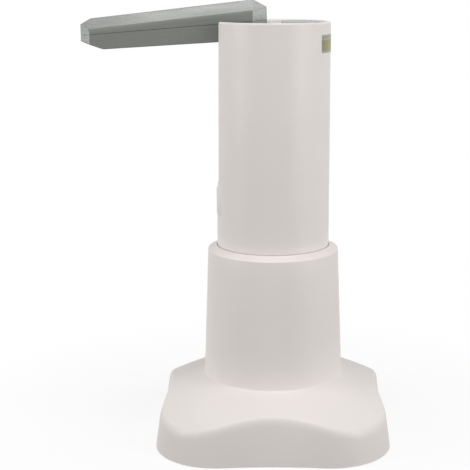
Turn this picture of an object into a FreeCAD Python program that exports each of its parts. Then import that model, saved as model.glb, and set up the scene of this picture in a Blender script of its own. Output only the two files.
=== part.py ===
"""Press-down hand pump for a water jug, with a spout that folds into its column.

The row frame is in millimetres: +Z up, origin on the column's axis at the mouth of the neck socket,
which is level with the rubber feet. The spout points along -X. Each solid is written where it sits
at rest, with the column up and the spout out.
"""
import FreeCAD
import Part
import math
import os

V = FreeCAD.Vector
Z_AXIS = V(0, 0, 1)

# ---- driving dimensions -------------------------------------------------------------------------

# foot and collar, one moulding: four lobes under a dome, and a tapered tube for the column
LOBE_CENTRE = 27.4            # centre of each corner arc, along X and along Y
LOBE_RADIUS = 30.9
SIDE_MIDDLE = 57.0            # from the axis to the middle of a slightly hollow side
WALL_LEAN = 0.155             # inward lean of the foot's side, mm per mm of height
DOME_POINTS = ((35.0, 30.4), (55.2, 22.5), (69.0, 15.2))     # radius and height on the foot's top
CREST_RADIUS = 5.2
CREASE_RADIUS = 0.9
COLLAR_FOOT = (35.15, 30.3)   # radius and height
COLLAR_HEAD = (32.7, 94.7)    # where the top chamfer starts
COLLAR_TOP = 96.8
SHOULDER_RADIUS = 0.5
BASE_WALL = 2.4
SHELL_FOOT_Z = 0.4

# bottom plate, its rubber feet and its screws
PLATE_Z = (0.8, 3.0)
FOOT_CORNER = 41.0            # centre of each foot, along X and along Y
FOOT_RADIUS = 5.0
FOOT_HEIGHT = 1.6
SCREW_CORNER = 31.0           # centre of each post, along X and along Y
SCREW_RADIUS = 1.1
POST_RADIUS = 3.6

# socket for the jug's neck, closed by the bulkhead that the pump stands on
NECK_BORE = 28.3              # radius
NECK_DEPTH = 30.0
NECK_SEAL_BORE = 26.2
SOCKET_WALL = 2.5
FLANGE_SCREW = 34.8
BULKHEAD_Z = (40.0, 44.0)
VENT_CIRCLE = 24.6
BARREL_SCREW_CIRCLE = 26.0

# inlet valve and the spigot for the dip tube
FITTING_RADIUS = 6.0
SPIGOT_RADIUS = 4.0
INLET_BORE = 2.6
INLET_CHAMBER = 4.3
INLET_SEAT = 43.0
CAGE_Z = (48.4, 51.8)

# barrel, piston and rod
STROKE = 15.0
BARREL_BORE = 20.0
BARREL_WALL = 2.0
BARREL_FLOOR = 46.0
BARREL_TOP = 79.5
FLANGE_RADIUS = 27.4
FLANGE_TOP = 46.6
PISTON_RADIUS = 19.5
PISTON_NECK = 5.2
PISTON_Z = (68.0, 76.0)
OUTLET_BORE = 1.8
OUTLET_CHAMBER = 3.6
OUTLET_SEAT = 70.0
ROD_RADIUS = 4.0
ROD_BORE = 2.2
ROD_FOOT = 77.6
ROD_TOP = 175.0
PRESS_PLATE_Z = (96.5, 99.5)
SPRING_RADIUS = 23.9
SPRING_WIRE = 0.9
SPRING_TURNS = 6.5

# column, and the bush it slides in
COLUMN_RADIUS = 28.0
COLUMN_WALL = 2.2
COLUMN_BOTTOM = FLANGE_TOP + STROKE + 0.4     # just above the barrel's flange when it is pressed
COLUMN_TOP = 207.1
RIM_RADIUS = 0.9
BUSH_Z = (70.0, 94.9)
BUSH_CLEARANCE = 0.06
MOUTH_CLEARANCE = 0.2
STOP_RING = (27.0, 29.6)      # inner and outer radius
STOP_Z = (66.5, 69.6)

# bay in the column that the spout folds into, its slot and the fork at its foot
BAY_HALF_WIDTH = 9.7
BAY_BACK = -7.6
BAY_FLOOR = 112.3
BAY_WALL = 1.5
HEAD_POCKET = (-1.2, 190.0)   # back wall and floor of the wider pocket round the hinge
SLOT_HALF_WIDTH = ((128.9, 8.1), (COLUMN_TOP, 10.5))    # Z and half width
CLIP_Z = (112.7, 128.9)
CLIP_X = (-28.2, -22.2)       # its flat outside and its inside
CLIP_HALF_WIDTH = 8.6
CLIP_GAP = 7.25
CLIP_BEVEL = (0.85, 2.4)      # inwards and downwards, along its top edge

# top disc, vent button and the adhesive patch on the column
CAP_Z = (204.4, 205.9)
WELL_FLOOR = 195.6
BUTTON_CENTRE = 12.1
BUTTON_SIZE = (15.6, 20.0)
BUTTON_TOP = 207.2
LABEL_ANGLES = (-34.5, 18.0)
LABEL_Z = (192.7, 201.2)

# manifold on top of the rod, and the vent
MANIFOLD_Z = (175.0, 184.0)
MANIFOLD_SIDE = (11.8, 17.4)
VENT_SEAT = 182.5
VENT_STEM = 1.1

# hinge of the spout
PIVOT = (-9.0, 199.5)         # X and Z of the hinge axis, which runs along Y
PIN_RADIUS = 3.0
PIN_END = -15.4
PIN_TOP = 13.2
ORING_OFFSET = 3.4
ORING_FLOOR = 2.05
HINGE_CLEARANCE = 0.1
HUB_RADIUS = 5.5
ARM_HUB = 7.0

# spout arm: the corners of its side view in X and Z, from the underside's tip end
ARM_PROFILE = (
    (-81.9, 193.9),
    (-2.7, 198.9),
    (-3.2, 213.9),
    (-9.7, 217.35),
    (-88.3, 208.4),
    (-92.9, 205.7),
    (-92.9, 197.6),
)
ARM_HALF_WIDTH = ((-9.7, 8.9), (-88.3, 6.7))      # X and half width where the sides stop
ARM_END_HALF_WIDTH = (4.9, 3.6)                   # of the end faces, at the hinge and at the tip
BEVEL_DROP = 5.55
BEVEL_WIDTH = 4.8
BEVEL_EDGE_RADIUS = 2.8       # between the long bevels and the sides
ARM_EDGE_RADIUS = 0.5         # every other edge
ARM_SEAM = ((-92.6, 200.5), (-7.0, 207.6))        # X and Z on the joint between the two shells
ARM_WALL = 1.5
SEAM_GAP = 0.2
ARM_SCREW_X = (-34.0, -64.0)
ARM_SCREW_Y = 4.1

# water way in the spout
DUCT_RADIUS = 2.5
DUCT_Z = 203.0
DUCT_ROOT = -14.0
DUCT_TIP = -80.0
NOZZLE_RADIUS = 4.1
NOZZLE_BORE = 2.9


# ---- helpers ------------------------------------------------------------------------------------

def cylinder(radius, z0, z1, x=0.0, y=0.0):
    return Part.makeCylinder(radius, z1 - z0, V(x, y, z0), Z_AXIS)


def cylinder_y(radius, y0, y1, x, z):
    return Part.makeCylinder(radius, y1 - y0, V(x, y0, z), V(0, 1, 0))


def cylinder_x(radius, x0, x1, y, z):
    return Part.makeCylinder(radius, x1 - x0, V(x0, y, z), V(1, 0, 0))


def ring(inner, outer, z0, z1):
    return cylinder(outer, z0, z1).cut(cylinder(inner, z0 - 1, z1 + 1))


def block(x0, x1, y0, y1, z0, z1):
    return Part.makeBox(x1 - x0, y1 - y0, z1 - z0, V(x0, y0, z0))


def turned(points):
    """Solid of revolution about Z from a closed list of (radius, height)."""
    corners = [V(r, 0, z) for r, z in points]
    wire = Part.makePolygon(corners + [corners[0]])
    return Part.Face(wire).revolve(V(0, 0, 0), Z_AXIS, 360)


def fuse(shapes):
    """One solid from touching shapes."""
    first = shapes[0]
    joined = first.multiFuse(shapes[1:]).removeSplitter()
    return joined.Solids[0] if len(joined.Solids) == 1 else joined


def around(shape, angles):
    """Copies of a shape turned about the column's axis."""
    copies = []
    for angle in angles:
        copy = shape.copy()
        copy.rotate(V(0, 0, 0), Z_AXIS, angle)
        copies.append(copy)
    return copies


def coil(radius, wire, z0, z1, turns):
    """Open helical spring between two heights, with the wire's centre inside them by its radius."""
    height = z1 - z0 - 2 * wire
    helix = Part.makeHelix(height / turns, height, radius)
    helix.translate(V(0, 0, z0 + wire))
    start = V(radius, 0, z0 + wire)
    section = Part.Wire(Part.makeCircle(wire, start, V(0, 1, 0)))
    return Part.Wire(helix).makePipeShell([section], True, True)


def line_at(line, position):
    """Second coordinate of a straight line given by two points, at a first coordinate."""
    (a0, b0), (a1, b1) = line
    return b0 + (b1 - b0) * (position - a0) / (a1 - a0)


# ---- base ---------------------------------------------------------------------------------------

def lobed_wire(inset, z):
    """Rounded square with slightly hollow sides, as eight tangent arcs."""
    centre = LOBE_CENTRE
    radius = LOBE_RADIUS - inset
    middle = SIDE_MIDDLE - inset
    reach = middle - centre
    side = (centre ** 2 + reach ** 2 - radius ** 2) / (2 * (radius - reach))
    side_centre = middle + side
    share = radius / (radius + side)
    joint = (centre - centre * share, centre + (side_centre - centre) * share)
    corner = centre + radius / math.sqrt(2)
    edges = []
    for quarter in range(4):
        turn = math.radians(90 * quarter)

        def place(x, y):
            cos, sin = math.cos(turn), math.sin(turn)
            return V(x * cos - y * sin, x * sin + y * cos, z)

        lobe = Part.Arc(place(joint[1], joint[0]), place(corner, corner), place(*joint))
        hollow = Part.Arc(place(*joint), place(0, middle), place(-joint[0], joint[1]))
        edges += [lobe.toShape(), hollow.toShape()]
    return Part.Wire(edges)


def foot_form(inset, z0):
    """The foot without its collar: leaning lobed sides under a dome, inset by a wall thickness."""
    above = COLLAR_FOOT[1] + 5
    sides = Part.makeLoft([lobed_wire(inset + WALL_LEAN * z, z) for z in (z0, above)], True, True)
    (r0, h0), (r1, h1), (r2, h2) = [(r, h - inset * 1.1) for r, h in DOME_POINTS]
    below = z0 - 5
    skirt = V(r2 + h2 - below, 0, below)
    outline = [
        Part.makeLine(V(0, 0, below), V(0, 0, h0)),
        Part.makeLine(V(0, 0, h0), V(r0, 0, h0)),
        Part.Arc(V(r0, 0, h0), V(r1, 0, h1), V(r2, 0, h2)).toShape(),
        Part.makeLine(V(r2, 0, h2), skirt),
        Part.makeLine(skirt, V(0, 0, below)),
    ]
    dome = Part.Face(Part.Wire(outline)).revolve(V(0, 0, 0), Z_AXIS, 360)
    form = sides.common(dome)
    crest = [edge for edge in form.Edges if is_crest(edge, z0, h0)]
    return form.makeFillet(CREST_RADIUS - inset, crest)


def is_crest(edge, z0, top):
    """True for the edges where the sides meet the dome."""
    box = edge.BoundBox
    upright = abs(edge.tangentAt(edge.FirstParameter).z) > 0.9
    on_sides = math.hypot(edge.CenterOfMass.x, edge.CenterOfMass.y) > SIDE_MIDDLE * 0.9
    return box.ZMin > z0 + 1 and box.ZMax < top - 1 and on_sides and not upright


def base_shell():
    """Foot and collar as one hollow moulding, with a post over each corner screw."""
    lean = (COLLAR_FOOT[0] - COLLAR_HEAD[0]) / (COLLAR_HEAD[1] - COLLAR_FOOT[1])
    low = COLLAR_FOOT[1] - 6
    low_radius = COLLAR_FOOT[0] + 6 * lean
    mouth = COLUMN_RADIUS + MOUTH_CLEARANCE
    lip = COLLAR_HEAD[1] + 0.5
    collar = turned([
        (0, low),
        (low_radius, low),
        COLLAR_HEAD,
        (mouth + 0.2, COLLAR_TOP),
        (0, COLLAR_TOP),
    ])
    outside = foot_form(0, SHELL_FOOT_Z).fuse(collar).removeSplitter()
    crease = [
        edge for edge in outside.Edges
        if abs(edge.CenterOfMass.z - COLLAR_FOOT[1]) < 1 and edge.BoundBox.ZLength < 1
    ]
    outside = outside.makeFillet(CREASE_RADIUS, crease)
    shoulder = [edge for edge in outside.Edges if abs(edge.CenterOfMass.z - COLLAR_HEAD[1]) < 0.01]
    outside = outside.makeFillet(SHOULDER_RADIUS, shoulder)
    hollow = turned([
        (0, low - 8),
        (low_radius - BASE_WALL, low - 8),
        (low_radius - BASE_WALL, low),
        (COLLAR_HEAD[0] - BASE_WALL, COLLAR_HEAD[1]),
        (COLLAR_HEAD[0] - BASE_WALL, lip),
        (0, lip),
    ])
    shell = outside.cut(foot_form(BASE_WALL, -1.0)).cut(hollow)
    shell = shell.cut(cylinder(mouth, lip - 1, COLLAR_TOP + 1))
    inside = foot_form(BASE_WALL / 2, SHELL_FOOT_Z)
    post_z = PLATE_Z[1] + 0.05
    posts = [cylinder(POST_RADIUS, post_z, COLLAR_FOOT[1], *place) for place in corners(SCREW_CORNER)]
    posts = [post.common(inside) for post in posts]
    pilots = [cylinder(SCREW_RADIUS, 0, 16, *place) for place in corners(SCREW_CORNER)]
    return shell.multiFuse(posts).cut(Part.makeCompound(pilots))


def corners(offset):
    """The four places at plus and minus an offset along X and Y."""
    return [(sx * offset, sy * offset) for sx in (1, -1) for sy in (1, -1)]


def crosses(offset):
    """The four places at an offset along +X, +Y, -X and -Y."""
    return [(offset, 0.0), (0.0, offset), (-offset, 0.0), (0.0, -offset)]


def screw(place, head_z, head_radius, shank_radius, tip_z):
    """Screw standing up from a flush head: the head's underside, then the shank to its tip."""
    head = cylinder(head_radius, head_z, head_z + 1.3, *place)
    drive = cylinder(head_radius * 0.45, head_z - 0.1, head_z + 0.6, *place)
    return head.cut(drive).fuse(cylinder(shank_radius, head_z + 1.3, tip_z, *place))


def base_plate():
    outline = lobed_wire(BASE_WALL + WALL_LEAN * PLATE_Z[1] + 0.2, PLATE_Z[0])
    plate = Part.Face(outline).extrude(V(0, 0, PLATE_Z[1] - PLATE_Z[0]))
    cuts = [cylinder(NECK_BORE + SOCKET_WALL + 0.2, 0, PLATE_Z[1] + 1)]
    cuts += [cylinder(FOOT_RADIUS + 0.1, 0, FOOT_HEIGHT, *place) for place in corners(FOOT_CORNER)]
    for place in corners(SCREW_CORNER) + crosses(FLANGE_SCREW):
        cuts.append(cylinder(2.6, 0, PLATE_Z[0] + 1.45, *place))
        cuts.append(cylinder(SCREW_RADIUS + 0.2, 0, PLATE_Z[1] + 1, *place))
    return plate.cut(Part.makeCompound(cuts))


def rubber_feet():
    feet = []
    for place in corners(FOOT_CORNER):
        foot = cylinder(FOOT_RADIUS, 0, FOOT_HEIGHT, *place)
        lower = [edge for edge in foot.Edges if edge.CenterOfMass.z < 0.01]
        feet.append(foot.makeFillet(0.5, lower))
    return Part.makeCompound(feet)


def base_screws():
    return Part.makeCompound([
        screw(place, PLATE_Z[0] + 0.1, 2.4, SCREW_RADIUS, 14.0) for place in corners(SCREW_CORNER)
    ])


def socket_screws():
    return Part.makeCompound([
        screw(place, PLATE_Z[0] + 0.1, 2.0, 0.9, 8.0) for place in crosses(FLANGE_SCREW)
    ])


def neck_socket():
    """Tube that slips over the jug's neck, with a screw flange and the bulkhead under the pump."""
    outer = NECK_BORE + SOCKET_WALL
    seat = NECK_BORE - 0.3
    low, high = BULKHEAD_Z
    flange = PLATE_Z[1] + 0.05
    socket = turned([
        (NECK_BORE, 0),
        (outer, 0),
        (outer, flange),
        (FLANGE_SCREW + 3.7, flange),
        (FLANGE_SCREW + 3.7, flange + 2),
        (outer, flange + 2),
        (outer, high),
        (FITTING_RADIUS + 0.05, high),
        (FITTING_RADIUS + 0.05, low),
        (NECK_SEAL_BORE, low),
        (NECK_SEAL_BORE, NECK_DEPTH + 2),
        (seat, NECK_DEPTH + 2),
        (seat, NECK_DEPTH),
        (NECK_BORE, NECK_DEPTH),
    ])
    bosses = [cylinder(2.6, flange + 1, 9.0, *place) for place in crosses(FLANGE_SCREW)]
    holes = [cylinder(0.9, 0, 8.0, *place) for place in crosses(FLANGE_SCREW)]
    vents = around(cylinder(1.0, low - 1, high + 1, VENT_CIRCLE), (60, 180, 300))
    tapped = around(cylinder(0.9, low + 0.8, high + 1, BARREL_SCREW_CIRCLE), (0, 120, 240))
    return socket.multiFuse(bosses).cut(Part.makeCompound(holes + vents + tapped))


def neck_seal():
    return ring(NECK_SEAL_BORE + 0.1, NECK_BORE - 0.35, NECK_DEPTH, NECK_DEPTH + 1.95)


def guide_bush():
    """Plain bearing in the collar that the column slides in."""
    bore = COLUMN_RADIUS + BUSH_CLEARANCE
    flange = ring(bore, bore + 2.8, BUSH_Z[0], BUSH_Z[0] + 2)
    sleeve = ring(bore, bore + 2.1, BUSH_Z[0], BUSH_Z[1])
    return sleeve.fuse(flange).removeSplitter()


# ---- pump ---------------------------------------------------------------------------------------

def inlet_fitting():
    """Spigot for the dip tube below the bulkhead, and the inlet valve's seat above it."""
    low = BULKHEAD_Z[0]
    return turned([
        (INLET_BORE, NECK_DEPTH + 0.6),
        (SPIGOT_RADIUS, NECK_DEPTH + 0.6),
        (SPIGOT_RADIUS, low - 2),
        (8.5, low - 2),
        (8.5, low - 0.05),
        (FITTING_RADIUS, low - 0.05),
        (FITTING_RADIUS, CAGE_Z[0]),
        (INLET_CHAMBER, CAGE_Z[0]),
        (INLET_CHAMBER, INLET_SEAT),
        (INLET_BORE, INLET_SEAT),
    ])


def inlet_nut():
    """Hexagon nut that clamps the barrel's floor and the bulkhead together."""
    across = 9.6
    turns = [math.pi / 3 * k for k in range(7)]
    points = [V(across * math.cos(turn), across * math.sin(turn), 0) for turn in turns]
    hexagon = Part.Face(Part.makePolygon(points)).extrude(V(0, 0, 1.8))
    hexagon.translate(V(0, 0, BARREL_FLOOR + 0.05))
    return hexagon.cut(cylinder(FITTING_RADIUS, BARREL_FLOOR - 1, BARREL_FLOOR + 5))


def inlet_cage():
    """Ring and cross bars that stop the inlet ball's lift."""
    low, high = CAGE_Z
    rim = ring(INLET_CHAMBER, FITTING_RADIUS, low, high)
    reach = FITTING_RADIUS - 0.8
    bar_z = (high - 0.9, high)
    bars = [block(-reach, reach, -0.7, 0.7, *bar_z), block(-0.7, 0.7, -reach, reach, *bar_z)]
    return fuse([rim] + bars)


def seated_ball(radius, seat_radius, seat_z):
    """Ball just clear of the edge of its seat."""
    lift = math.sqrt(radius ** 2 - seat_radius ** 2) + 0.05
    return Part.makeSphere(radius, V(0, 0, seat_z + lift))


def pump_barrel():
    base = BULKHEAD_Z[1] + 0.05
    outer = BARREL_BORE + BARREL_WALL
    barrel = turned([
        (FITTING_RADIUS + 0.05, base),
        (FLANGE_RADIUS, base),
        (FLANGE_RADIUS, FLANGE_TOP),
        (outer, FLANGE_TOP),
        (outer, BARREL_TOP),
        (BARREL_BORE, BARREL_TOP),
        (BARREL_BORE, BARREL_FLOOR),
        (FITTING_RADIUS + 0.05, BARREL_FLOOR),
    ])
    vents = around(cylinder(1.0, base - 1, FLANGE_TOP + 1, VENT_CIRCLE), (60, 180, 300))
    holes = around(cylinder(1.0, base - 1, FLANGE_TOP + 1, BARREL_SCREW_CIRCLE), (0, 120, 240))
    sink = cylinder(1.35, FLANGE_TOP - 1.4, FLANGE_TOP + 1, BARREL_SCREW_CIRCLE)
    sinks = around(sink, (0, 120, 240))
    return barrel.cut(Part.makeCompound(vents + holes + sinks))


def barrel_screws():
    head = cylinder(1.3, FLANGE_TOP - 1.35, FLANGE_TOP - 0.1, BARREL_SCREW_CIRCLE)
    drive = cylinder(0.55, FLANGE_TOP - 0.7, FLANGE_TOP, BARREL_SCREW_CIRCLE)
    shank = cylinder(0.9, BULKHEAD_Z[0] + 0.9, FLANGE_TOP - 1.35, BARREL_SCREW_CIRCLE)
    return Part.makeCompound(around(head.cut(drive).fuse(shank), (0, 120, 240)))


def barrel_cap():
    """Cap that closes the barrel round the piston's neck, vented to the air."""
    spigot = BARREL_BORE - 0.05
    cap = turned([
        (PISTON_NECK + 0.5, PISTON_Z[1] + 0.8),
        (spigot, PISTON_Z[1] + 0.8),
        (spigot, BARREL_TOP + 0.02),
        (BARREL_BORE + BARREL_WALL, BARREL_TOP + 0.02),
        (BARREL_BORE + BARREL_WALL, BARREL_TOP + 1.4),
        (PISTON_NECK + 0.5, BARREL_TOP + 1.4),
    ])
    return cap.cut(Part.makeCompound(around(cylinder(1.6, 70, 90, 12.0), (45, 135, 225, 315))))


def return_spring():
    return coil(SPRING_RADIUS, SPRING_WIRE, FLANGE_TOP, PRESS_PLATE_Z[0], SPRING_TURNS)


def piston():
    """Piston disc with a seal groove, and the neck that holds the outlet valve and the rod."""
    low, high = PISTON_Z
    groove = PISTON_RADIUS - 2
    return turned([
        (OUTLET_BORE, low),
        (PISTON_RADIUS, low),
        (PISTON_RADIUS, low + 2.5),
        (groove, low + 2.5),
        (groove, low + 5.5),
        (PISTON_RADIUS, low + 5.5),
        (PISTON_RADIUS, high),
        (PISTON_NECK, high),
        (PISTON_NECK, high + 8),
        (ROD_RADIUS, high + 8),
        (ROD_RADIUS, ROD_FOOT),
        (OUTLET_CHAMBER, ROD_FOOT),
        (OUTLET_CHAMBER, OUTLET_SEAT),
        (OUTLET_BORE, OUTLET_SEAT),
    ])


def piston_seal():
    """Lip ring that runs in the barrel."""
    low = PISTON_Z[0] + 2.6
    inner = PISTON_RADIUS - 1.9
    lip = BARREL_BORE - 0.06
    return turned([
        (inner, low),
        (lip - 0.7, low),
        (lip, low + 0.7),
        (lip, low + 2.1),
        (lip - 0.7, low + 2.8),
        (inner, low + 2.8),
    ])


def outlet_cage():
    """Drilled disc that stops the outlet ball's lift."""
    disc = cylinder(OUTLET_CHAMBER - 0.05, ROD_FOOT - 1.4, ROD_FOOT - 0.4)
    holes = [cylinder(0.9, 70, 90)] + around(cylinder(0.6, 70, 90, 2.3), (0, 90, 180, 270))
    return disc.cut(Part.makeCompound(holes))


def piston_rod():
    """Hollow rod that carries the load down and the water up."""
    return ring(ROD_BORE, ROD_RADIUS, ROD_FOOT, ROD_TOP)


def press_plate():
    """Disc across the column that bears on the return spring and grips the rod."""
    low, high = PRESS_PLATE_Z
    plate = ring(ROD_RADIUS, COLUMN_RADIUS - COLUMN_WALL - 0.1, low, high)
    hub = ring(ROD_RADIUS, ROD_RADIUS + 4, low, high + 5)
    ribs = around(block(ROD_RADIUS + 3, 23.0, -0.8, 0.8, high, high + 3), range(0, 360, 60))
    holes = around(cylinder(2.5, low - 1, high + 1, 15.0), (30, 150, 270))
    return plate.multiFuse([hub] + ribs).removeSplitter().cut(Part.makeCompound(holes))


# ---- column -------------------------------------------------------------------------------------

def slot_prism():
    """The arm's slot through the column's wall, wider towards the rim."""
    z0, half0 = SLOT_HALF_WIDTH[0]
    above = COLUMN_TOP + 2
    half2 = line_at(SLOT_HALF_WIDTH, above)
    outside = -COLUMN_RADIUS - 4
    points = [(-half0, z0), (half0, z0), (half2, above), (-half2, above), (-half0, z0)]
    slot = Part.Face(Part.makePolygon([V(outside, y, z) for y, z in points]))
    side = CLIP_HALF_WIDTH + 0.02
    notch = block(outside, 0, -side, side, CLIP_Z[0] - 0.1, CLIP_Z[1] + 0.1)
    return slot.extrude(V(-outside, 0, 0)).fuse(notch)


def column_tube():
    tube = ring(COLUMN_RADIUS - COLUMN_WALL, COLUMN_RADIUS, COLUMN_BOTTOM, COLUMN_TOP)
    rim = [edge for edge in tube.Edges if abs(edge.CenterOfMass.z - COLUMN_TOP) < 0.01]
    tube = tube.makeFillet(RIM_RADIUS, rim)
    groove = ring(STOP_RING[0], COLUMN_RADIUS + 1, *STOP_Z)
    return tube.cut(groove).cut(slot_prism())


def stop_ring():
    """Ring under the guide bush that keeps the column from pulling out."""
    return ring(STOP_RING[0], STOP_RING[1], *STOP_Z)


def bay_space(grown, top):
    """The bay and the pocket above it as one solid, grown by a wall thickness."""
    back, floor = HEAD_POCKET
    side = BAY_HALF_WIDTH + grown
    bay = block(-COLUMN_RADIUS - 4, BAY_BACK + grown, -side, side, BAY_FLOOR - grown, top)
    pocket = block(-COLUMN_RADIUS - 4, back + grown, -side, side, floor - grown, top)
    return bay.fuse(pocket)


def bay_liner():
    """Channel that the folded spout lies in, with a wider pocket and bearings for its hinge pin."""
    top = CAP_Z[1]
    outer = bay_space(BAY_WALL, top)
    inner = bay_space(0, top + 1)
    column = cylinder(COLUMN_RADIUS - COLUMN_WALL - 0.15, BAY_FLOOR - 5, top + 1)
    liner = outer.cut(inner).common(column)
    side = BAY_HALF_WIDTH + BAY_WALL
    boss = cylinder_y(4.8, PIN_END + 1.2, -side, *PIVOT)
    liner = liner.fuse(boss).removeSplitter()
    return liner.cut(cylinder_y(PIN_RADIUS, PIN_END, side + 4, *PIVOT))


def spout_clip():
    """Fork that the folded spout's tip snaps into, set in the foot of the slot."""
    low, high = CLIP_Z
    outside, inside = CLIP_X
    inwards, downwards = CLIP_BEVEL
    side_view = [
        (outside, low),
        (inside, low),
        (inside, high),
        (outside + inwards, high),
        (outside, high - downwards),
        (outside, low),
    ]
    face = Part.Face(Part.makePolygon([V(x, -CLIP_HALF_WIDTH, z) for x, z in side_view]))
    fork = face.extrude(V(0, 2 * CLIP_HALF_WIDTH, 0))
    return fork.cut(block(outside - 1, inside + 1, -CLIP_GAP, CLIP_GAP, low + 1.3, high + 1))


def top_cap():
    """Disc just under the rim, cut out round the bay, with a well for the vent button."""
    low, high = CAP_Z
    cap = cylinder(COLUMN_RADIUS - COLUMN_WALL - 0.2, low, high)
    x = BUTTON_CENTRE
    half_x, half_y = BUTTON_SIZE[0] / 2, BUTTON_SIZE[1] / 2
    well_x, well_y = half_x + 2.2, half_y + 2.2
    well = block(x - well_x, x + well_x, -well_y, well_y, WELL_FLOOR - 1.2, low + 0.1)
    cap = cap.fuse(well).removeSplitter()
    cuts = [
        bay_space(BAY_WALL + 0.15, high + 1),
        block(x - half_x - 1, x + half_x + 1, -half_y - 1, half_y + 1, WELL_FLOOR, low),
        rounded_block(x, half_x + 0.2, half_y + 0.2, 3.2, low - 1, high + 1),
        cylinder(1.4, WELL_FLOOR - 2, WELL_FLOOR + 1, x),
    ]
    return cap.cut(Part.makeCompound(cuts))


def rounded_block(x, half_x, half_y, radius, z0, z1):
    """Block centred on an X, with round upright corners."""
    shape = block(x - half_x, x + half_x, -half_y, half_y, z0, z1)
    upright = [edge for edge in shape.Edges if edge.BoundBox.ZLength > z1 - z0 - 0.01]
    return shape.makeFillet(radius, upright)


def vent_button():
    """Key in the top cap; its stem opens the vent that lets the riser drain."""
    half_x, half_y = BUTTON_SIZE[0] / 2, BUTTON_SIZE[1] / 2
    flange_z = CAP_Z[0] - 1.4
    key = rounded_block(BUTTON_CENTRE, half_x, half_y, 3.0, flange_z, BUTTON_TOP)
    top = [edge for edge in key.Edges if abs(edge.CenterOfMass.z - BUTTON_TOP) < 0.01]
    key = key.makeFillet(0.5, top)
    flange = rounded_block(BUTTON_CENTRE, half_x + 0.8, half_y + 0.8, 3.0, flange_z, CAP_Z[0] - 0.2)
    stem = cylinder(VENT_STEM, VENT_SEAT - 0.1, flange_z + 0.5, BUTTON_CENTRE)
    return fuse([key, flange, stem])


def vent_disc():
    """Rubber disc on the stem, just under the vent's seat."""
    return cylinder(2.4, VENT_SEAT - 1.7, VENT_SEAT - 0.1, BUTTON_CENTRE)


def vent_spring():
    spring = coil(3.4, 0.35, WELL_FLOOR, CAP_Z[0] - 1.4, 5)
    spring.translate(V(BUTTON_CENTRE, 0, 0))
    return spring


def manifold():
    """Moulding on top of the rod that leads water to the hinge pin and carries the vent's seat."""
    low, high = MANIFOLD_Z
    x, z = PIVOT
    side = MANIFOLD_SIDE
    middle = (side[0] + side[1]) / 2
    level = ROD_TOP + 3.5
    body = fuse([
        cylinder(ROD_RADIUS + 1.9, ROD_TOP - 5, high),
        block(0, BUTTON_CENTRE + 4.5, -4.5, 4.5, high - 8, high),
        block(-3.5, 3.5, 0, side[1], low, high - 2),
        block(x - 5, 3.5, side[0], side[1], low, high - 2),
        block(x - 5, x + 5, side[0], side[1], low, z + 4.5),
    ])
    cuts = [
        cylinder(ROD_RADIUS, ROD_TOP - 6, ROD_TOP),
        cylinder(3.0, ROD_TOP - 0.1, high - 2.5),
        cylinder_y(1.6, 0, middle, 0, level),
        cylinder_x(1.6, x, 0, middle, level),
        cylinder(1.6, level, z, x, middle),
        Part.makeSphere(1.6, V(0, middle, level)),
        Part.makeSphere(1.6, V(x, middle, level)),
        cylinder_y(PIN_RADIUS, side[0] - 1, PIN_TOP, x, z),
        cylinder_y(1.8, PIN_TOP - 0.1, middle + 1.4, x, z),
        cylinder_x(1.0, 0, BUTTON_CENTRE, 0, level + 1.5),
        cylinder(3.0, high - 6, VENT_SEAT, BUTTON_CENTRE),
        cylinder(1.6, VENT_SEAT - 0.1, high + 1, BUTTON_CENTRE),
    ]
    return body.cut(Part.makeCompound(cuts))


def hinge_pin():
    """Headed hollow pin: the spout turns on it and draws its water through it."""
    x, z = PIVOT
    pin = cylinder_y(PIN_RADIUS, PIN_END + 1.2, PIN_TOP, x, z)
    pin = pin.fuse(cylinder_y(PIN_RADIUS + 1.4, PIN_END, PIN_END + 1.2, x, z)).removeSplitter()
    cuts = [
        cylinder_y(1.5, -2, PIN_TOP + 1, x, z),
        cylinder_x(1.1, x - 4, x + 4, 0, z),
        cylinder(1.1, z - 4, z + 4, x, 0),
    ]
    for y in (-ORING_OFFSET, ORING_OFFSET):
        outer = cylinder_y(PIN_RADIUS + 1, y - 0.6, y + 0.6, x, z)
        cuts.append(outer.cut(cylinder_y(ORING_FLOOR, y - 1, y + 1, x, z)))
    return pin.cut(Part.makeCompound(cuts))


def pin_orings():
    x, z = PIVOT
    outer = PIN_RADIUS + 0.05
    minor = (outer - ORING_FLOOR - 0.01) / 2
    centres = [V(x, y, z) for y in (-ORING_OFFSET, ORING_OFFSET)]
    return Part.makeCompound([Part.makeTorus(outer - minor, minor, c, V(0, 1, 0)) for c in centres])


def side_label():
    """Plain adhesive patch bent round the column."""
    start, end = LABEL_ANGLES
    low, high = LABEL_Z
    patch = Part.makeCylinder(COLUMN_RADIUS + 0.14, high - low, V(0, 0, low), Z_AXIS, end - start)
    patch.rotate(V(0, 0, 0), Z_AXIS, start)
    return patch.cut(cylinder(COLUMN_RADIUS + 0.02, low - 1, high + 1))


# ---- spout arm ----------------------------------------------------------------------------------

def beyond(point, normal, inset):
    """A big block that fills the space beyond a plane moved inwards by an inset."""
    size = 600.0
    cube = Part.makeBox(size, size, size, V(-size / 2, -size / 2, 0))
    unit = V(normal).normalize()
    spot = point - unit * inset
    cube.Placement = FreeCAD.Placement(spot, FreeCAD.Rotation(Z_AXIS, unit))
    return cube


def profile_planes():
    """Planes of the arm's side view, facing out."""
    planes = []
    count = len(ARM_PROFILE)
    for k in range(count):
        x0, z0 = ARM_PROFILE[k]
        x1, z1 = ARM_PROFILE[(k + 1) % count]
        planes.append((V(x0, 0, z0), V(z1 - z0, 0, x0 - x1)))
    return planes


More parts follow.
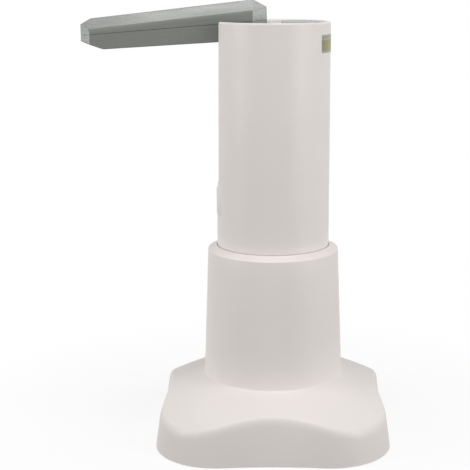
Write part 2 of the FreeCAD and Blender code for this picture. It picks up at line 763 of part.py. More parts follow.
def plan_planes():
    """Planes of the arm's top view: tapering sides, and the cut corners at each end."""
    (x0, w0), (x1, w1) = ARM_HALF_WIDTH
    end0, end1 = ARM_END_HALF_WIDTH
    root_x = ARM_PROFILE[2][0]
    tip_x = ARM_PROFILE[5][0]
    planes = []
    for side in (1, -1):
        planes.append((V(x0, side * w0, 0), V(w1 - w0, side * (x0 - x1), 0)))
        planes.append((V(root_x, side * end0, 0), V(w0 - end0, side * (root_x - x0), 0)))
        planes.append((V(tip_x, side * end1, 0), V(end1 - w1, side * (x1 - tip_x), 0)))
    return planes


def rising_plane(a, b, c):
    """Plane through three points, facing up."""
    normal = (b - a).cross(c - a)
    return (a, normal if normal.z > 0 else normal * -1)


def bevel_planes():
    """The long bevels beside the arm's top face, each mitred round the cut corners at both ends."""
    tops = ARM_PROFILE[3:5]
    end_tops = (ARM_PROFILE[2], ARM_PROFILE[5])
    planes = []
    for side in (1, -1):
        low = [V(x, side * w, top[1] - BEVEL_DROP) for (x, w), top in zip(ARM_HALF_WIDTH, tops)]
        high = [V(x, side * (w - BEVEL_WIDTH), top[1]) for (x, w), top in zip(ARM_HALF_WIDTH, tops)]
        end = [V(x, side * w, z) for (x, z), w in zip(end_tops, ARM_END_HALF_WIDTH)]
        planes.append(rising_plane(low[0], low[1], high[0]))
        planes.append(rising_plane(low[0], high[0], end[0]))
        planes.append(rising_plane(low[1], high[1], end[1]))
    return planes


def arm_edge_radius(edge):
    """Large radius between a long bevel and its side, small radius on every other edge."""
    middle = edge.CenterOfMass
    at_side = abs(abs(middle.y) - line_at(ARM_HALF_WIDTH, middle.x)) < 0.2
    above_seam = middle.z > line_at(ARM_SEAM, middle.x) - 3
    soft = edge.Length > 60 and at_side and above_seam
    return BEVEL_EDGE_RADIUS if soft else ARM_EDGE_RADIUS


def rounded(shape, radius_of):
    """Every edge filleted, each with the radius that a function gives for it."""
    document = FreeCAD.newDocument()
    sharp = document.addObject("Part::Feature")
    sharp.Shape = shape
    fillet = document.addObject("Part::Fillet")
    fillet.Base = sharp
    radii = [radius_of(edge) for edge in shape.Edges]
    fillet.Edges = [(number, radius, radius) for number, radius in enumerate(radii, 1)]
    document.recompute()
    return fillet.Shape.copy()


def cut_by(shape, planes, inset):
    for point, normal in planes:
        shape = shape.cut(beyond(point, normal, inset))
    return shape


def arm_form(inset, hub):
    """The whole arm's form, inset by a wall thickness, with the round of its hinge end."""
    blank = block(-110, 20, -20, 20, 180, 230)
    plan = cut_by(blank, plan_planes(), inset)
    faceted = cut_by(plan, profile_planes() + bevel_planes(), inset)
    if inset == 0:
        faceted = rounded(faceted, arm_edge_radius)
    barrel = cylinder_y(hub, -20, 20, *PIVOT).common(plan)
    return faceted.fuse(barrel).removeSplitter()


def seam_side(upper, offset):
    """A big block above or below the plane between the two shells, moved up by an offset."""
    (x0, z0), (x1, z1) = ARM_SEAM
    normal = V(z0 - z1, 0, x1 - x0)
    point = V(x0, 0, z0 + offset)
    return beyond(point, normal if upper else normal * -1, 0)


def arm_posts(radius, low, high):
    """Cylinders at the arm's four screw places, from heights above the arm's underside."""
    posts = []
    for x in ARM_SCREW_X:
        floor = line_at(ARM_PROFILE[:2], x)
        for y in (-ARM_SCREW_Y, ARM_SCREW_Y):
            posts.append(cylinder(radius, floor + low, floor + high, x, y))
    return posts


def spout_upper_shell():
    shell = arm_form(0, ARM_HUB).cut(arm_form(ARM_WALL, HUB_RADIUS + 0.1))
    posts = Part.makeCompound(arm_posts(1.5, ARM_WALL + 0.25, 30)).common(arm_form(0.6, HUB_RADIUS))
    shell = shell.common(seam_side(True, SEAM_GAP / 2))
    pilots = arm_posts(0.7, 0, 9)
    return shell.multiFuse(posts.Solids).removeSplitter().cut(Part.makeCompound(pilots))


def spout_lower_shell():
    shell = arm_form(0, ARM_HUB).cut(arm_form(ARM_WALL, HUB_RADIUS + 0.1))
    shell = shell.common(seam_side(False, -SEAM_GAP / 2))
    inside = arm_form(ARM_WALL + 0.6, HUB_RADIUS)
    root = arm_form(ARM_WALL, HUB_RADIUS).cut(inside)
    root = root.common(seam_side(True, -1.4)).common(seam_side(False, -SEAM_GAP / 2))
    tongue = arm_form(ARM_WALL + 0.08, HUB_RADIUS).cut(inside)
    tongue = tongue.common(seam_side(True, -1.0)).common(seam_side(False, 1.2))
    shell = shell.fuse(root).fuse(tongue).removeSplitter()
    cuts = arm_posts(1.6, -1, 1.0) + arm_posts(0.9, 0, 4) + arm_posts(1.6, ARM_WALL + 0.2, 20)
    cuts.append(cylinder_y(PIN_RADIUS + HINGE_CLEARANCE, -20, 20, *PIVOT))
    cuts.append(Part.makeCylinder(NOZZLE_RADIUS + 0.1, 6, nozzle_point(-2), nozzle_axis()))
    return shell.cut(Part.makeCompound(cuts))


def spout_screws():
    heads = arm_posts(1.45, 0.15, 0.95)
    shanks = arm_posts(0.7, 0.95, 8)
    drives = arm_posts(0.6, 0, 0.5)
    screws = [head.cut(drive).fuse(shank) for head, shank, drive in zip(heads, shanks, drives)]
    return Part.makeCompound(screws)


def spout_hub():
    """Block that turns on the pin and passes the water from it to the duct."""
    x, z = PIVOT
    body = cylinder_y(HUB_RADIUS, -7.2, 7.2, x, z)
    body = body.fuse(cylinder_x(3.6, x - 10, x, 0, DUCT_Z)).removeSplitter()
    body = body.common(arm_form(ARM_WALL + 0.1, HUB_RADIUS))
    cuts = [
        cylinder_y(PIN_RADIUS + HINGE_CLEARANCE, -20, 20, x, z),
        cylinder_y(4.1, -1.3, 1.3, x, z),
        cylinder_x(DUCT_RADIUS, x - 11, DUCT_ROOT, 0, DUCT_Z),
        cylinder_x(1.6, DUCT_ROOT - 0.1, x, 0, DUCT_Z),
    ]
    return body.cut(Part.makeCompound(cuts))


def spout_duct():
    outer = cylinder_x(DUCT_RADIUS, DUCT_TIP, DUCT_ROOT, 0, DUCT_Z)
    return outer.cut(cylinder_x(DUCT_RADIUS - 0.7, DUCT_TIP - 1, DUCT_ROOT + 1, 0, DUCT_Z))


def nozzle_axis():
    """Direction into the arm, square to the slanted face under its tip."""
    (x0, z0), (x1, z1) = ARM_PROFILE[6], ARM_PROFILE[0]
    return V(z0 - z1, 0, x1 - x0).normalize()


def nozzle_point(depth):
    """Point on the nozzle's axis at a depth inside the slanted face."""
    (x0, z0), (x1, z1) = ARM_PROFILE[6], ARM_PROFILE[0]
    return V((x0 + x1) / 2, 0, (z0 + z1) / 2) + nozzle_axis() * depth


def outlet_nozzle():
    axis = nozzle_axis()
    body = Part.makeCylinder(NOZZLE_RADIUS, 8.0, nozzle_point(0.3), axis)
    body = body.fuse(cylinder_x(3.5, DUCT_TIP - 4, DUCT_TIP + 3.5, 0, DUCT_Z)).removeSplitter()
    cuts = [
        Part.makeCylinder(NOZZLE_BORE, 7.2, nozzle_point(0), axis),
        cylinder_x(DUCT_RADIUS, DUCT_TIP, DUCT_TIP + 5, 0, DUCT_Z),
        cylinder_x(1.7, DUCT_TIP - 6, DUCT_TIP + 0.1, 0, DUCT_Z),
    ]
    return body.cut(Part.makeCompound(cuts))


def nozzle_screen():
    """Flow straightener: a drilled disc just inside the nozzle."""
    axis = nozzle_axis()
    disc = Part.makeCylinder(NOZZLE_BORE - 0.05, 1.5, nozzle_point(0.9), axis)
    across = axis.cross(V(0, 1, 0))
    holes = [Part.makeCylinder(0.5, 4, nozzle_point(0), axis)]
    for k in range(6):
        angle = math.radians(60 * k)
        offset = across * (1.7 * math.cos(angle)) + V(0, 1.7 * math.sin(angle), 0)
        holes.append(Part.makeCylinder(0.5, 4, nozzle_point(0) + offset, axis))
    return disc.cut(Part.makeCompound(holes))


# ---- write the pieces ---------------------------------------------------------------------------

NODES = {
    "base_shell": base_shell,
    "base_plate": base_plate,
    "rubber_feet": rubber_feet,
    "base_screws": base_screws,
    "neck_socket": neck_socket,
    "socket_screws": socket_screws,
    "neck_seal": neck_seal,
    "guide_bush": guide_bush,
    "pump_barrel": pump_barrel,
    "barrel_screws": barrel_screws,
    "barrel_cap": barrel_cap,
    "inlet_fitting": inlet_fitting,
    "inlet_nut": inlet_nut,
    "inlet_cage": inlet_cage,
    "inlet_ball": lambda: seated_ball(3.5, INLET_BORE, INLET_SEAT),
    "return_spring": return_spring,
    "column_tube": column_tube,
    "stop_ring": stop_ring,
    "press_plate": press_plate,
    "piston_rod": piston_rod,
    "piston": piston,
    "piston_seal": piston_seal,
    "outlet_cage": outlet_cage,
    "outlet_ball": lambda: seated_ball(2.6, OUTLET_BORE, OUTLET_SEAT),
    "manifold": manifold,
    "bay_liner": bay_liner,
    "spout_clip": spout_clip,
    "top_cap": top_cap,
    "vent_button": vent_button,
    "vent_disc": vent_disc,
    "vent_spring": vent_spring,
    "hinge_pin": hinge_pin,
    "pin_orings": pin_orings,
    "side_label": side_label,
    "spout_upper_shell": spout_upper_shell,
    "spout_lower_shell": spout_lower_shell,
    "spout_screws": spout_screws,
    "spout_hub": spout_hub,
    "spout_duct": spout_duct,
    "outlet_nozzle": outlet_nozzle,
    "nozzle_screen": nozzle_screen,
}

os.makedirs("parts", exist_ok=True)
for node, make in NODES.items():
    shape = make()
    shape.exportStep(f"parts/{node}.step")
    print(node, len(shape.Solids), "solids, valid", shape.isValid(), round(shape.Volume, 1), "mm3")
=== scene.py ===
"""Looks of a press-down hand pump for a water jug: white column and foot, grey folding spout.

The scene is in metres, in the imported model's frame: +Z up, the spout along -X, the jug below.
Named sizes are in millimetres unless their comment says otherwise, and MM turns them to metres.
"""

import math

import bpy
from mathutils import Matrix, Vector


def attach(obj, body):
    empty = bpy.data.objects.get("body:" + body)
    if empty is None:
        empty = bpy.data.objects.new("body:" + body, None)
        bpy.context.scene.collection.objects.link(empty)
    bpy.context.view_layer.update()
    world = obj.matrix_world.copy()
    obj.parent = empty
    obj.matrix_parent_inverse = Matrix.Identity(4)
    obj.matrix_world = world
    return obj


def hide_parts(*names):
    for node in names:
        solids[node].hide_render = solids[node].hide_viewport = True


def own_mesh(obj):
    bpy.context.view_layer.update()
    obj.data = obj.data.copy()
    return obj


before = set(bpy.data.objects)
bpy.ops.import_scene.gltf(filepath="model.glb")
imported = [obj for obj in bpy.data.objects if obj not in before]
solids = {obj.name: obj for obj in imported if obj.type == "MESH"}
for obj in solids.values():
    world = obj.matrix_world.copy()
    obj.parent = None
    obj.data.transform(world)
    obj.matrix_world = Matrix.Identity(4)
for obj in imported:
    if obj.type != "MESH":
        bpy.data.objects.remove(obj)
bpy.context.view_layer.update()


# ---- Foot and collar ----------------------------------------------------------------------------
# One injection moulding in warm white ABS: four rounded lobes under a shallow dome, and the
# tapered collar that the column slides in. The crest's round changes a little from the sides to
# the lobes, so the shape is swept round the axis from a profile that changes with direction.

MM = 0.001
AZIMUTHS = 192                # sections round the axis
LOBE_CENTRE = 27.4            # plan of the foot: corner arcs with slightly hollow sides between
LOBE_RADIUS = 30.9
SIDE_MIDDLE = 57.0            # from the axis to the middle of a side
LEAN = 0.155                  # of the side, mm inwards per mm of height
DOME = ((35.0, 30.4), (55.2, 22.5), (69.0, 15.2))      # radius and height
CREST_ON_DOME = (1.5, 2.0)    # reach of the crest's round, at the middle of a side and at a lobe
CREST_ON_SIDE = (4.6, 4.2)
CREST_EASE = 0.25             # how much of that reach is lost inside, per mm of wall
COLLAR_FOOT = (35.15, 30.3)   # radius and height
COLLAR_HEAD = (32.7, 94.7)
COLLAR_TOP = 96.8
CREASE = 0.7                  # reach of the round where the collar meets the dome
SHOULDER = 0.4                # reach of the round where the collar's chamfer starts
MOUTH = 28.2
MOUTH_EDGE = ((0.35, -0.1), (0.15, 0.0), (0.0, -0.15))      # out from the mouth, up from the top
MOUTH_FLOOR = 95.2            # underside of the lip round the mouth
CHAMFER_END = 0.2             # where the chamfer would meet the top, out from the mouth
SHELL_WALL = 2.4
SHELL_LOW = 0.4               # gap between the shell and what the foot stands on
UPRIGHT_WALL = 1.1            # height of the dome's wall, per mm of its thickness
ROOT_DROP = 2.0               # from the collar's foot down to where its inside ends
SETTLING = 12                 # passes that find where the side would meet the dome
CRISP_EDGE = 35               # degrees; edges sharper than this stay crisp


def plan_radius(turn, inset):
    """Distance from the axis to the foot's outline at floor level."""
    radius = LOBE_RADIUS - inset
    middle = SIDE_MIDDLE - inset
    reach = middle - LOBE_CENTRE
    hollow = (LOBE_CENTRE ** 2 + reach ** 2 - radius ** 2) / (2 * (radius - reach))
    share = radius / (radius + hollow)
    far = middle + hollow
    joint = math.atan2(LOBE_CENTRE * (1 - share), LOBE_CENTRE + (far - LOBE_CENTRE) * share)
    off = abs((turn + math.pi / 4) % (math.pi / 2) - math.pi / 4)
    if off < joint:
        return far * math.cos(off) - math.sqrt(hollow ** 2 - (far * math.sin(off)) ** 2)
    near = LOBE_CENTRE * (math.sin(off) + math.cos(off))
    return near + math.sqrt(radius ** 2 - 2 * LOBE_CENTRE ** 2 + near ** 2)


def dome_at(radius, inset):
    """Height and slope of the foot's top at a distance from the axis."""
    (a, low), (b, middle), (c, high) = DOME
    first = (middle - low) / (b - a)
    bend = ((high - middle) / (c - b) - first) / (c - a)
    height = low + first * (radius - a) + bend * (radius - a) * (radius - b)
    return height - inset * UPRIGHT_WALL, first + bend * (2 * radius - a - b)


def between(start, end, steps):
    """Evenly spaced points on a straight line, its start and end among them."""
    return [
        tuple(p + (q - p) * k / steps for p, q in zip(start, end)) for k in range(steps + 1)
    ]


def bend_round(start, corner, end, steps):
    """Points on a curve that leaves its start towards the corner and reaches its end from there."""
    points = []
    for k in range(steps + 1):
        t = k / steps
        points.append(tuple(
            (1 - t) ** 2 * p + 2 * t * (1 - t) * q + t * t * r
            for p, q, r in zip(start, corner, end)
        ))
    return points


def foot_profile(turn, inset, collar_radius):
    """Radius and height up the foot's side, over its crest and along its dome to the collar."""
    rim = plan_radius(turn, inset)
    height = DOME[2][1]
    for _ in range(SETTLING):
        height = dome_at(rim - LEAN * height, inset)[0]
    lobe = (1 - math.cos(4 * turn)) / 2
    ease = 1 - CREST_EASE * inset
    on_dome = ease * (CREST_ON_DOME[0] + (CREST_ON_DOME[1] - CREST_ON_DOME[0]) * lobe)
    on_side = ease * (CREST_ON_SIDE[0] + (CREST_ON_SIDE[1] - CREST_ON_SIDE[0]) * lobe)
    slope = dome_at(rim - LEAN * height, inset)[1]
    top_radius = rim - LEAN * height - on_dome / math.hypot(1, slope)
    top_height, slope = dome_at(top_radius, inset)
    corner_height = (top_height + slope * (rim - top_radius)) / (1 + slope * LEAN)
    corner = (rim - LEAN * corner_height, corner_height)
    side_height = corner_height - on_side
    side = (rim - LEAN * side_height, side_height)
    points = between((rim - LEAN * SHELL_LOW, SHELL_LOW), side, 4)
    points += bend_round(side, corner, (top_radius, top_height), 12)[1:]
    for radius, _ in between((top_radius, 0), (collar_radius, 0), 12)[1:]:
        points.append((radius, dome_at(radius, inset)[0]))
    return points


def shell_profile(turn):
    """Closed section of foot and collar: up the outside, over the mouth and down the inside."""
    taper = (COLLAR_FOOT[0] - COLLAR_HEAD[0]) / (COLLAR_HEAD[1] - COLLAR_FOOT[1])
    outside = foot_profile(turn, 0, COLLAR_FOOT[0] + CREASE)
    above = (COLLAR_FOOT[0] - CREASE * taper, COLLAR_FOOT[1] + CREASE)
    chamfer = (COLLAR_HEAD[0] - MOUTH - CHAMFER_END, COLLAR_TOP - COLLAR_HEAD[1])
    below = (COLLAR_HEAD[0] + SHOULDER * taper, COLLAR_HEAD[1] - SHOULDER)
    step = SHOULDER / math.hypot(*chamfer)
    over = (COLLAR_HEAD[0] - step * chamfer[0], COLLAR_HEAD[1] + step * chamfer[1])
    section = outside + bend_round(outside[-1], COLLAR_FOOT, above, 5)[1:]
    section += between(above, below, 6)[1:]
    section += bend_round(below, COLLAR_HEAD, over, 4)[1:]
    section += [(MOUTH + out, COLLAR_TOP + up) for out, up in MOUTH_EDGE]
    ledge = COLLAR_HEAD[0] - SHELL_WALL
    root = COLLAR_FOOT[0] + ROOT_DROP * taper - SHELL_WALL
    inside = foot_profile(turn, SHELL_WALL, root)
    section += [(MOUTH, MOUTH_FLOOR), (ledge, MOUTH_FLOOR)]
    section += between((ledge, COLLAR_HEAD[1]), inside[-1], 5)[:-1]
    return section + inside[::-1]


def swept(sections, centre=(0.0, 0.0)):
    """Closed shell from sections (radius and height in mm), evenly spaced round a vertical axis."""
    count, rows = len(sections), len(sections[0])
    points = []
    for k, section in enumerate(sections):
        turn = 2 * math.pi * k / count
        for radius, height in section:
            x = centre[0] + radius * math.cos(turn)
            y = centre[1] + radius * math.sin(turn)
            points.append((x * MM, y * MM, height * MM))
    faces = []
    for k in range(count):
        for row in range(rows):
            after, above = (k + 1) % count, (row + 1) % rows
            faces.append((
                k * rows + row, after * rows + row, after * rows + above, k * rows + above,
            ))
    return points, faces


def solid(name, points, faces):
    """Mesh object with smooth normals that break at its crisp edges."""
    mesh = bpy.data.meshes.new(name)
    mesh.from_pydata(points, [], faces)
    mesh.polygons.foreach_set("use_smooth", [True] * len(mesh.polygons))
    mesh.set_sharp_from_angle(angle=math.radians(CRISP_EDGE))
    piece = bpy.data.objects.new(name, mesh)
    bpy.context.scene.collection.objects.link(piece)
    return piece


def linear(code):
    """Linear colour with alpha from an sRGB hex code."""
    parts = [int(code[k:k + 2], 16) / 255 for k in (1, 3, 5)]
    return [p / 12.92 if p <= 0.04045 else ((p + 0.055) / 1.055) ** 2.4 for p in parts] + [1.0]


def per_metre(size_mm):
    """Texture scale that gives features of about this size."""
    return 1.0 / (size_mm * MM)


def add(tree, kind, settings=(), links=()):
    """One node, with what its properties and sockets are set to and which sockets feed it.

    A number stands for the socket in that place, where two of them share a name.
    """
    node = tree.nodes.new("ShaderNode" + kind)
    for name, value in dict(settings).items():
        if isinstance(name, int) or name in node.inputs:
            node.inputs[name].default_value = value
        else:
            setattr(node, name, value)
    for name, source in dict(links).items():
        tree.links.new(source, node.inputs[name])
    return node


def fresh(name):
    """An empty material, its node tree and the object coordinates that its patterns follow."""
    material = bpy.data.materials.new(name)
    material.use_nodes = True
    tree = material.node_tree
    tree.nodes.clear()
    return material, tree, add(tree, "TexCoord").outputs["Object"]


def resin(tree, place, body, shade, size_mm=38):
    """Colour of a moulding, which wanders a little between two shades as its melt flowed."""
    flow = add(tree, "TexNoise", {"Scale": per_metre(size_mm), "Detail": 3.0}, {"Vector": place})
    tint = add(tree, "ValToRGB", links={"Fac": flow.outputs["Fac"]})
    for stop, position, code in zip(tint.color_ramp.elements, (0.35, 0.65), (shade, body)):
        stop.position = position
        stop.color = linear(code)
    return tint.outputs["Color"]


def handled(tree, place, rough, spread=0.05, size_mm=9):
    """Roughness, a little lower in the patches that hands have rubbed."""
    rub = add(tree, "TexNoise", {"Scale": per_metre(size_mm), "Detail": 4.0}, {"Vector": place})
    return add(
        tree, "MapRange",
        {"From Min": 0.3, "From Max": 0.7, "To Min": rough - spread, "To Max": rough + spread},
        {"Value": rub.outputs["Fac"]},
    ).outputs["Result"]


def eroded(tree, place, size_mm, height_mm):
    """Normal of the fine even grain that a spark-eroded mould leaves."""
    grain = add(
        tree, "TexNoise", {"Scale": per_metre(size_mm), "Detail": 2.0, "Roughness": 0.6},
        {"Vector": place},
    )
    return add(
        tree, "Bump", {"Strength": 1.0, "Distance": height_mm * MM},
        {"Height": grain.outputs["Fac"]},
    ).outputs["Normal"]


def finished(tree, settings, links):
    """The shader of a material and its output."""
    shader = add(tree, "BsdfPrincipled", settings, links)
    add(tree, "OutputMaterial", links={"Surface": shader.outputs["BSDF"]})


def dress(material, *names):
    """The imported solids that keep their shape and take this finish."""
    for name in names:
        for slot in solids[name].material_slots:
            slot.material = material


# ABS from a spark-eroded mould gives a soft, even matt white. The real grain is about 0.1 mm, so it
# is drawn five times as coarse to show at all.
white_abs, tree, place = fresh("white_abs_spark_eroded")
finished(tree, {"IOR": 1.53, "Specular IOR Level": 0.4}, {
    "Base Color": resin(tree, place, "#E4DEDA", "#E1DBD7"),
    "Roughness": handled(tree, place, 0.46),
    "Normal": eroded(tree, place, 0.5, 0.004),
})

foot = solid("foot_and_collar", *swept([
    shell_profile(2 * math.pi * k / AZIMUTHS) for k in range(AZIMUTHS)
]))
foot.data.materials.append(white_abs)
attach(foot, "base")
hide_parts("base_shell")


# ---- Posts over the corner screws ---------------------------------------------------------------
# Four tubes moulded under the dome of the foot, in the same white ABS. The screws of the bottom
# plate cut their own thread in them.

POST_PLACE = 31.0             # from both middle planes
POST_RADIUS = 3.6
POST_BORE = 1.1
POST_LOW = 3.05
POST_SIDES = 32


def post(centre):
    """One tube, whose top ends inside the dome's wall all round."""
    sections = []
    for k in range(POST_SIDES):
        turn = 2 * math.pi * k / POST_SIDES
        section = [(POST_BORE, POST_LOW), (POST_RADIUS, POST_LOW)]
        for radius in (POST_RADIUS, POST_BORE):
            x = centre[0] + radius * math.cos(turn)
            y = centre[1] + radius * math.sin(turn)
            section.append((radius, dome_at(math.hypot(x, y), SHELL_WALL / 2)[0]))
        sections.append(section)
    return swept(sections, centre)


def together(shells):
    """Points and faces of several closed shells, as one list of each."""
    points, faces = [], []
    for shell_points, shell_faces in shells:
        faces += [tuple(len(points) + index for index in face) for face in shell_faces]
        points += shell_points
    return points, faces


posts = solid("screw_posts", *together([
    post((x * POST_PLACE, y * POST_PLACE)) for x, y in ((1, 1), (1, -1), (-1, 1), (-1, -1))
]))
posts.data.materials.append(white_abs)
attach(posts, "base")
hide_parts("base_shell")


# ---- Bottom plate -------------------------------------------------------------------------------
# Flat moulding in light grey ABS that closes the foot from below. It is set just inside the shell
# and held by four screws.

light_grey_abs, tree, place = fresh("light_grey_abs_spark_eroded")
finished(tree, {"IOR": 1.53}, {
    "Base Color": resin(tree, place, "#CBCBCA", "#C6C6C5"),
    "Roughness": handled(tree, place, 0.5),
    "Normal": eroded(tree, place, 0.5, 0.004),
})
dress(light_grey_abs, "base_plate")


# ---- Rubber feet and O-rings --------------------------------------------------------------------
# Four pads of black nitrile rubber, pressed into pockets in the bottom plate, and the hinge pin's
# O-rings. Rubber from a plain mould is nearly matt, with a dusty bloom in patches.

rubber, tree, place = fresh("nitrile_rubber_moulded")
finished(tree, {"IOR": 1.52, "Specular IOR Level": 0.35}, {
    "Base Color": resin(tree, place, "#232324", "#1A1A1B", 3),
    "Roughness": handled(tree, place, 0.72, 0.08, 2),
    "Normal": eroded(tree, place, 0.6, 0.012),
})
dress(rubber, "rubber_feet", "pin_orings")


# ---- Screws -------------------------------------------------------------------------------------
# Small stainless screws for plastics. Their heads were turned and then tumbled, which leaves a
# soft shine with fine marks in no one direction.

tumbled, tree, place = fresh("stainless_tumbled")
finished(tree, {"Metallic": 1.0}, {
    "Base Color": resin(tree, place, "#CBCAC6", "#C2C1BE", 2),
    "Roughness": handled(tree, place, 0.3, 0.06, 0.8),
    "Normal": eroded(tree, place, 0.3, 0.003),
})
dress(tumbled, "base_screws", "socket_screws", "barrel_screws", "spout_screws")


# ---- Neck socket --------------------------------------------------------------------------------
# White ABS tube that slips over the jug's neck, screwed down on four bosses. The pump stands on
# the bulkhead that closes it.

dress(white_abs, "neck_socket")


# ---- Seals and hose -----------------------------------------------------------------------------
# Food-grade silicone: the ring at the end of the socket's bore that the jug's lip meets, the
# piston's lip, the vent's disc and the hose in the spout. It is milky and a little waxy, because
# light passes through its skin.

silicone, tree, place = fresh("silicone_milky")
finished(
    tree, {"IOR": 1.41, "Subsurface Weight": 0.4, "Subsurface Scale": 1.5 * MM},
    {
        "Base Color": resin(tree, place, "#DCDCD7", "#D5D5D0", 6),
        "Roughness": handled(tree, place, 0.48, 0.05, 3),
        "Normal": eroded(tree, place, 0.8, 0.002),
    },
)
dress(silicone, "neck_seal", "piston_seal", "vent_disc", "spout_duct")


# ---- Bush, stop ring, piston, valve fittings and nozzle -----------------------------------------
# Natural acetal, cream white and slippery. These pieces are turned from bar, and fine rings from
# the tool run round them; real ones are 0.1 mm apart, and these are drawn at 0.4 mm to show.

acetal, tree, place = fresh("acetal_turned")
cut = add(tree, "SeparateXYZ", links={"Vector": place})
phase = add(
    tree, "Math", {"operation": "MULTIPLY", 1: 2 * math.pi * per_metre(0.4)},
    {0: cut.outputs["Z"]},
)
rings = add(tree, "Math", {"operation": "SINE"}, {0: phase.outputs["Value"]})
tool = add(
    tree, "Bump", {"Strength": 0.6, "Distance": 0.003 * MM},
    {"Height": rings.outputs["Value"], "Normal": eroded(tree, place, 0.8, 0.001)},
)
finished(
    tree, {"IOR": 1.48, "Subsurface Weight": 0.2, "Subsurface Scale": 1.0 * MM},
    {
        "Base Color": resin(tree, place, "#ECEBE4", "#E6E5DE", 12),
        "Roughness": handled(tree, place, 0.34, 0.04, 4),
        "Normal": tool.outputs["Normal"],
    },
)
dress(
    acetal, "guide_bush", "barrel_cap", "inlet_fitting", "inlet_nut", "inlet_cage", "stop_ring",
    "piston", "outlet_cage", "spout_hub", "outlet_nozzle", "nozzle_screen",
)


# ---- Pump barrel and manifold -------------------------------------------------------------------
# Moulded in natural polypropylene, which is milky with a cold cast and glossy from a polished
# mould. Three screws hold the barrel's flange to the bulkhead; the manifold sits on the rod's
# head.

polypropylene, tree, place = fresh("polypropylene_milky")
finished(
    tree, {"IOR": 1.49, "Subsurface Weight": 0.4, "Subsurface Scale": 2.0 * MM},
    {
        "Base Color": resin(tree, place, "#DEE3E4", "#D7DDDE", 15),
        "Roughness": handled(tree, place, 0.28, 0.05, 5),
        "Normal": eroded(tree, place, 1.0, 0.001),
    },
)
dress(polypropylene, "pump_barrel", "manifold")


# ---- Valve balls --------------------------------------------------------------------------------
# Ground and lapped stainless bearing balls, nearly a mirror, with the faint clouding of hard
# water.

lapped, tree, place = fresh("stainless_lapped")
finished(tree, {"Metallic": 1.0}, {
    "Base Color": resin(tree, place, "#D2D1CE", "#C9C8C5", 2),
    "Roughness": handled(tree, place, 0.1, 0.04, 1.5),
})
dress(lapped, "inlet_ball", "outlet_ball")


# ---- Springs ------------------------------------------------------------------------------------
# Two open coils of cold-drawn stainless wire, which stand free between their seats. The real ones
# shorten as the column and the vent key go down; these are built at rest and ride on one body.
# The die draws fine lines along the wire, a streaky sheen, and leaves it greyer than a turned
# piece.

RETURN_COIL = (23.9, 0.9, 46.6, 96.5, 6.5, 0.0)     # radius, wire's radius, foot, head, turns, x
VENT_COIL = (3.4, 0.35, 195.6, 203.0, 5, 12.1)
STROKE = 15.0
VENT_TRAVEL = 1.2
TURN_STEPS = 36               # rings of points in one turn of the coil
WIRE_SIDES = 12


def coil(radius, wire, low, high, turns, centre_x):
    """Rings of points along a right-handed coil of round wire between two heights."""
    rise = (high - low - 2 * wire) / (2 * math.pi * turns)
    lead = math.atan(rise / radius)
    rings = []
    for step in range(int(turns * TURN_STEPS) + 1):
        turn = 2 * math.pi * step / TURN_STEPS
        ring = []
        for k in range(WIRE_SIDES):
            up = wire * math.cos(2 * math.pi * k / WIRE_SIDES)
            out = radius + wire * math.sin(2 * math.pi * k / WIRE_SIDES)
            slip = up * math.sin(lead)
            ring.append((
                centre_x + out * math.cos(turn) + slip * math.sin(turn),
                out * math.sin(turn) - slip * math.cos(turn),
                low + wire + rise * turn + up * math.cos(lead),
            ))
        rings.append(ring)
    return rings


def joined(rings):
    """Closed shell over rings of points in mm, which run anticlockwise seen from the last one."""
    count = len(rings[0])
    points = [(x * MM, y * MM, z * MM) for ring in rings for x, y, z in ring]
    faces = [tuple(range(count))[::-1], tuple(len(points) - count + k for k in range(count))]
    for first in range(0, len(points) - count, count):
        for k in range(count):
            after = (k + 1) % count
            faces.append((first + k, first + after, first + count + after, first + count + k))
    return points, faces


# The real lines are far too fine to show. Here they are 0.4 mm apart and about 17 mm long.
drawn, tree, place = fresh("spring_wire_drawn")
streaks = add(
    tree, "VectorMath", {"operation": "MULTIPLY", 1: (60.0, 60.0, per_metre(0.4))}, {0: place},
)
lines = add(
    tree, "TexNoise", {"Scale": 1.0, "Detail": 2.0}, {"Vector": streaks.outputs["Vector"]},
)
sheen = add(
    tree, "MapRange", {"From Min": 0.3, "From Max": 0.7, "To Min": 0.24, "To Max": 0.42},
    {"Value": lines.outputs["Fac"]},
)
finished(tree, {"Metallic": 1.0}, {
    "Base Color": resin(tree, place, "#B9B8B5", "#AEADAA", 3),
    "Roughness": sheen.outputs["Result"],
})
for node, body, joint, travel, sizes in (
    ("return_spring", "base", "press_stroke", STROKE, RETURN_COIL),
    ("vent_spring", "column", "vent_press", VENT_TRAVEL, VENT_COIL),
):
    radius, wire, foot_z, head_z, turns, centre_x = sizes
    rings = coil(radius, wire, foot_z, head_z, turns, centre_x)
    spring = solid(node + "_coil", *joined(rings))
    spring.data.materials.append(drawn)
    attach(spring, body)
    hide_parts(node)
    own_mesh(spring)


# ---- Column -------------------------------------------------------------------------------------
# Extruded-looking tube in the same white ABS, moulded on a long core. Its lowest part slides in
# the bush with each stroke, which rubs faint upright lines into the grain there. A thin grey band
# of painted shade darkens it where it stands in the collar's mouth, in place of the gap's shadow.

RUB_LENGTH = 40.0             # of the upright lines
RUB_WIDTH = 0.7               # real lines are narrower; these are wide enough to show
RUB_Z = (100.0, 116.0)        # heights between which they fade out
MOUTH_SHADE_Z = (97.0, 97.4)         # heights between which the painted shade fades out
